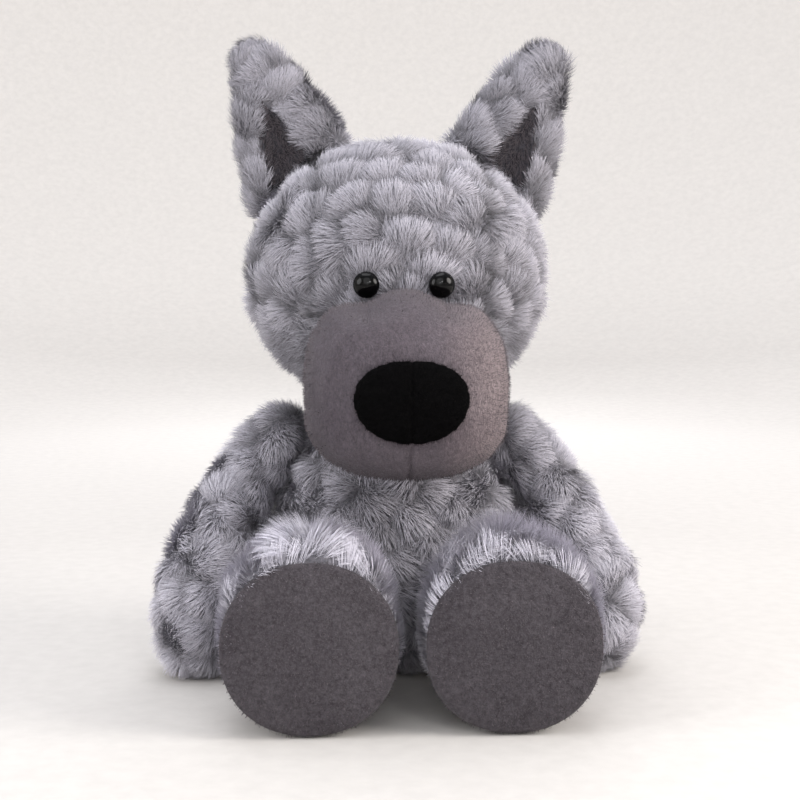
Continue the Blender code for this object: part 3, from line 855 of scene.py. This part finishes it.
def limb_cover(limb, word, *panels, fill):
    """The backing of an arm or a leg, which rides on that limb and stands for its stuffing and panels."""
    cover = copy_of_node(f"{limb}_cover_{word}", f"{limb}_stuffing_{word}")
    remesh(cover, REMESH_LIMB, 3)
    grow_skin(cover, -LIMB_DEPTH)
    swell(cover, SWELL_PILE)
    subdivide(cover, 1)
    settle(cover, backing, "curled_plush", f"{limb}_{word}", f"{limb}_stuffing_{word}",
           *(f"{limb}_{panel}_{word}" for panel in panels), fill=fill)
    return cover


def add_arm(side, word):
    def arm_shade(points, up):
        # Lighter on the outer side: painted light. Darker towards the top, under the head: painted shade. The
        # base grey is set above the head's, against the shade the arm sits in: painted light.
        return 0.72 + 0.02 * side * up[:, 0] - 0.05 * smooth_step(points[:, 2], 0.09, 0.13)

    down_and_out = steady(*unit(np.array((0.8 * side, -0.1, -1.0))))
    arm = limb_cover("arm", word, "front", "back", fill=0.75)
    pile(f"arm_pile_{word}", arm, f"arm_{word}", 39500, down_and_out, 31 + side, arm_shade, length=0.0090,
         spacing=0.0150, width=0.00031, buried=torso, edge_drop=0.14)


def off_foot(points, up):
    """Nearly upright, and a little forward and up."""
    return unit(up + np.array((0.0, -0.35, 0.35)))


def leg_shade(points, up):
    # Lighter where the pile faces up, on a high base grey: painted light on top of the foot. Darker towards
    # the back of the foot: painted shade.
    return 0.75 + 0.03 * up[:, 2] - 0.04 * smooth_step(points[:, 1], -0.115, -0.08)


def add_leg(side, word):
    """A leg and its sole. The pile is tallest on top of the foot and leaves the sole free."""
    sole_low, sole_high = box_of(f"sole_{word}")
    leg_low, leg_high = box_of(f"leg_upper_{word}", f"leg_lower_{word}")

    def leg_density(points, up):
        return ((points[:, 1] > sole_high[1] + 0.0005) & (up[:, 1] > -0.8)).astype(float)

    def foot_height(points, up):
        front = smooth_step(-points[:, 1], -sole_high[1] - 0.035, -sole_high[1] - 0.008)
        return 0.62 + np.maximum(up[:, 2], 0) * (0.68 + 0.30 * front)

    sole = pillow(f"sole_cover_{word}",
                  np.array((leg_low[0] + SOLE_INSET, sole_low[1], leg_low[2] + FLOOR_Z)),
                  np.array((leg_high[0] - SOLE_INSET, sole_high[1], leg_high[2] - SOLE_TOP_INSET)))
    swell(sole, SWELL_SOLE)
    subdivide(sole, 1)
    on_floor = coordinates(sole.data)
    on_floor[:, 2] = np.maximum(on_floor[:, 2], FLOOR_Z)
    put_coordinates(sole.data, on_floor)
    settle(sole, sole_plush, "short_plush", f"leg_{word}", f"sole_{word}", fill=0.8)

    leg = limb_cover("leg", word, "upper", "lower", fill=0.8)
    pile(f"leg_pile_{word}", leg, f"leg_{word}", 39500, off_foot, 41 + side, leg_shade, length=0.0100,
         spacing=0.0150, density=leg_density, buried=torso, lift=1.5, rise=0.75, edge_drop=0.04,
         raised=0.0020, wander=0.25, own=1.5, root_shade=(1, 0, 0), tall=foot_height)
    fuzz(f"sole_fuzz_{word}", sole, f"leg_{word}", 9000, 45 + side, plush_tones, 0.0016,
         0.00024, base=0.4)


for side, word in SIDES:
    add_arm(side, word)
    add_leg(side, word)

tail = copy_of_node("tail_cover", "tail_stuffing")
remesh(tail, REMESH_LIMB, 2)
swell(tail, 0.002)
subdivide(tail, 1)
settle(tail, backing, "curled_plush", "tail", "tail_stuffing", "tail_upper", "tail_lower", fill=0.7)
# Lighter where the pile faces up: painted light from above.
pile("tail_pile", tail, "tail", 9000, steady(0, 1.0, -0.2), 51, lambda p, n: 0.66 + 0.03 * n[:, 2],
     buried=torso, width=0.00034)


# Ears

LINING_MARGIN = 0.0016  # the pile keeps this far off the lining
LINING_SLOPE = 0.42  # how far the middle of the lining moves outwards for each metre up


def add_ear(side, word):
    shell = copy_of_node(f"ear_cover_{word}", f"ear_shell_{word}")
    remesh(shell, REMESH_EAR, 3)
    grow_skin(shell, -EAR_DEPTH)
    subdivide(shell, 1)
    settle(shell, backing, "curled_plush", f"ear_{word}", f"ear_shell_{word}", fill=0.6)
    lining = copy_of_node(f"ear_lining_cover_{word}", f"ear_lining_{word}")
    remesh(lining, REMESH_LINING, 2)
    subdivide(lining, 1)
    settle(lining, lining_plush, "short_plush", f"ear_{word}", f"ear_lining_{word}")
    lining_low, lining_high = box_of(f"ear_lining_{word}")
    lining_mid = (lining_low + lining_high) / 2
    spread = unit(np.array((0.35 * side, 0, 1.0)))

    def off_lining(points, up):
        tree = tree_of(lining)
        return np.array([tree.find_nearest(point)[3] > LINING_MARGIN for point in points], float)

    def over_rim(points, up):
        """Up and outwards, and on the front also in towards the lining."""
        middle = lining_mid[0] + LINING_SLOPE * (points[:, 2] - lining_mid[2]) * side
        inwards = np.sign(middle - points[:, 0])
        front = smooth_step(-up[:, 1], -0.2, 0.5)
        return unit(spread + (0.8 * front * inwards)[:, None] * np.array((1.0, 0, 0)))

    pile(f"ear_pile_{word}", shell, f"ear_{word}", 34000, over_rim, 61 + side, lambda p, n: flat(p, 0.615),
         spacing=0.0130, density=off_lining, buried=head, wander=0.5, raised=0.0016, edge_drop=0.10)
    fuzz(f"ear_lining_fuzz_{word}", lining, f"ear_{word}", 2500, 65 + side, plush_tones,
         0.0035, 0.0003, base=-0.4, comb=steady(*spread))


for side, word in SIDES:
    add_ear(side, word)


# Nose and eyes

nose = hull_of("nose_cover", "nose_pad")
remesh(nose, REMESH_NOSE, 10)
grow_skin(nose, 0.0012)
swell(nose, SWELL_NOSE)
subdivide(nose, 2)
egg = coordinates(nose.data) - nose_mid
egg[:, 0] *= 1.03 + 0.05 * egg[:, 2] / (nose_high[2] - nose_mid[2])  # an egg, wider at the top
egg[:, 1] -= 0.0010
put_coordinates(nose.data, nose_mid + egg)
groove(nose, lambda p: p[:, 0], 0.0006, 0.0008)
settle(nose, nose_velvet, "nose_velvet", "head", "nose_pad", fill=0.9)
fuzz("nose_fuzz", nose, "head", 5000, 71, velvet_tones, 0.0012, 0.0002, base=1.0)

EYE_STEPS = 48
EYE_RINGS = 14
# Shares of the radius of an eye
EYE_HEIGHT = 0.78
EYE_BASE_RADIUS = 0.93
EYE_BASE_DEPTH = 1.1
EYE_LIFT = 0.42


def add_eye(word):
    """A glossy dome with a short skirt that goes into the head."""
    low, high = box_of(f"eye_{word}")
    front = np.array([v.co for v in nodes[f"eye_{word}"].data.vertices if v.co.y < (low[1] + high[1]) / 2])
    centre = (front.min(axis=0) + front.max(axis=0)) / 2
    radius = (front.max(axis=0) - front.min(axis=0))[0] / 2
    axis = unit(centre - head_mid)
    rings = [(math.sin(a), EYE_HEIGHT * (math.cos(a) - 1))
             for a in (math.pi / 2 * k / EYE_RINGS for k in range(1, EYE_RINGS + 1))]
    rings.append((EYE_BASE_RADIUS, -EYE_BASE_DEPTH))
    turns = [2 * math.pi * i / EYE_STEPS for i in range(EYE_STEPS)]
    points = [(0, 0, 0.0)]
    for r, z in rings:
        points += [(radius * r * math.cos(t), radius * r * math.sin(t), radius * z) for t in turns]
    faces = [(0, 1 + i, 1 + (i + 1) % EYE_STEPS) for i in range(EYE_STEPS)]
    faces += ring_faces(1, EYE_STEPS, EYE_RINGS)
    faces.append([1 + EYE_RINGS * EYE_STEPS + i for i in reversed(range(EYE_STEPS))])
    eye = add_mesh(f"eye_dome_{word}", points, faces)
    turn = Vector(axis).to_track_quat("Z", "Y").to_matrix().to_4x4()
    turn.translation = Vector(centre + axis * radius * EYE_LIFT)
    eye.data.transform(turn)
    eye.data.shade_smooth()
    settle(eye, eye_gloss, "eye_plastic", "head", f"eye_{word}")


for _, word in SIDES:
    add_eye(word)


# Stage

FLOOR_RADIUS = 1.5
SWEEP_RADIUS = 1.2
SWEEP_STEPS = 8
WALL_TOP = 2.6
STAGE_STEPS = 64
# The floor is painted darker than the wall because the lamps light it more: painted shade on the floor,
# painted light on the wall.
FLOOR_COLOUR = (0.75, 0.737, 0.722)
WALL_COLOUR = (0.945, 0.932, 0.915)
COLOUR_CHANGE = (0.5, 2.2)  # how far out the floor's colour starts and ends its change to the wall's

ROOM_COLOUR = (0.86, 0.88, 0.95, 1.0)
ROOM_STRENGTH = 0.75
LIT_POINT = (0, -0.02, 0.17)
# Name, place, size, power and colour of each lamp
LAMPS = (
    ("key", (1.15, -0.50, 0.70), 0.8, 19.0, (1.0, 0.96, 0.92)),
    ("side", (-1.20, -0.55, 0.65), 0.9, 10.0, (0.97, 0.98, 1.0)),
    ("front", (-0.15, -1.35, 0.80), 1.4, 9.0, (0.96, 0.97, 1.0)),
    ("back", (0.10, 1.35, 0.95), 1.2, 9.0, (0.96, 0.97, 1.0)),
    ("glint_high", (0.30, -1.25, 0.62), 0.10, 1.5, (1.0, 1.0, 1.0)),
    ("glint_low", (-0.02, -1.3, 0.50), 0.07, 0.7, (1.0, 1.0, 1.0)),
    ("top", (-0.1, 0.05, 1.5), 1.2, 12.0, (0.95, 0.96, 1.0)),
)

CAMERA_AZIMUTH = -3.0
CAMERA_ELEVATION = 4.57
CAMERA_DISTANCE = 0.85
CAMERA_HEIGHT = 0.215
CAMERA_SIDE_AIM = 0.0028


def add_stage():
    """A pale floor that sweeps up into a wall all round, beyond the lights."""
    profile = [(FLOOR_RADIUS / 2, 0.0), (FLOOR_RADIUS, 0.0)]
    for k in range(1, SWEEP_STEPS + 1):
        angle = math.pi / 2 * k / SWEEP_STEPS
        profile.append((FLOOR_RADIUS + SWEEP_RADIUS * math.sin(angle), SWEEP_RADIUS * (1 - math.cos(angle))))
    profile.append((FLOOR_RADIUS + SWEEP_RADIUS, WALL_TOP))
    turns = [2 * math.pi * i / STAGE_STEPS for i in range(STAGE_STEPS)]
    points = [(r * math.cos(t), r * math.sin(t), z) for r, z in profile for t in turns] + [(0.0, 0.0, 0.0)]
    faces = [(len(points) - 1, i, (i + 1) % STAGE_STEPS) for i in range(STAGE_STEPS)]
    floor = add_mesh("studio_floor", points, faces + ring_faces(0, STAGE_STEPS, len(profile) - 1))
    floor.data.shade_smooth()
    material = new_material("pale_floor", 0.9, 0.0, 0.2)
    graph = Graph(material)
    grain = graph.noise(90.0, 3.0)
    weave = graph.ramp(grain, ((0.3, (0.97, 0.97, 0.97)), (0.7, (1.0, 1.0, 1.0))))
    radius = graph.add("ShaderNodeVectorMath", {0: graph.place}, operation="LENGTH").outputs["Value"]
    # Painted shade on the floor and painted light on the wall, changing with the distance from the middle.
    reach = graph.scaled(radius, 0.0, 1.0, *COLOUR_CHANGE)
    body = graph.ramp(reach, ((0.0, FLOOR_COLOUR), (1.0, WALL_COLOUR)))
    graph.finish(graph.darken(1.0, body, weave), graph.scaled(grain, 0.88, 0.95), grain, 0.0002)
    floor.data.materials.append(material)


def add_light(name, place, size, power, colour):
    light = bpy.data.lights.new(name, "AREA")
    light.shape = "DISK"
    light.size = size
    light.energy = power
    light.color = colour
    obj = add_object(name, light)
    obj.location = place
    obj.rotation_euler = (Vector(LIT_POINT) - Vector(place)).to_track_quat("-Z", "Y").to_euler()


def add_camera():
    camera = bpy.data.cameras.new("camera")
    camera.lens = 67.5
    camera.sensor_width = 36.0
    obj = add_object("camera", camera)
    azimuth = math.radians(CAMERA_AZIMUTH)
    axis = Vector((0.0, torso_mid[1], CAMERA_HEIGHT))
    obj.location = axis + CAMERA_DISTANCE * Vector((math.sin(azimuth), -math.cos(azimuth), 0))
    drop = CAMERA_DISTANCE * math.tan(math.radians(CAMERA_ELEVATION))
    aim = axis + Vector((CAMERA_SIDE_AIM, 0, -drop)) - obj.location
    obj.rotation_euler = aim.to_track_quat("-Z", "Y").to_euler()
    bpy.context.scene.camera = obj


def add_world():
    world = bpy.data.worlds.new("soft_room")
    world.use_nodes = True
    background = world.node_tree.nodes["Background"]
    background.inputs["Color"].default_value = ROOM_COLOUR
    background.inputs["Strength"].default_value = ROOM_STRENGTH
    bpy.context.scene.world = world


add_stage()
add_world()
for lamp in LAMPS:
    add_light(*lamp)
add_camera()
bpy.context.scene.view_settings.view_transform = "Standard"
